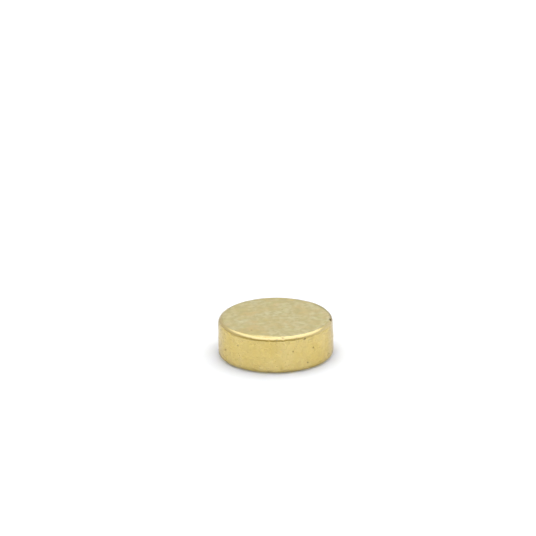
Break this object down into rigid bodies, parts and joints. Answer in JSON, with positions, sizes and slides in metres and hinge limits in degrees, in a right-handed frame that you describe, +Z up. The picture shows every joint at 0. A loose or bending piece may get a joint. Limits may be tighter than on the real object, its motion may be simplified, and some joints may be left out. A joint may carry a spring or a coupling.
{
  "type": "disc magnet",
  "caption": "Small round disc magnet with flat faces and rounded edges, gold plated all over, for pressing or gluing into a shallow pocket.",
  "frame": {"origin": "centre of the bottom face, on the surface that the disc lies on", "axes": "+Z up the axis of the disc, from the bottom face to the top face; +X to the right and +Y away when the chip in the top edge is seen at the right"},
  "size_m": [0.003, 0.003, 0.001],
  "materials": {
    "gold_plate": "thin gold plate over a tumbled, sintered rare-earth magnet: satin on the ground faces, brighter on the rounded edges"
  },
  "bodies": {
    "root": {"magnet": "gold_plate"}
  },
  "joints": []
}
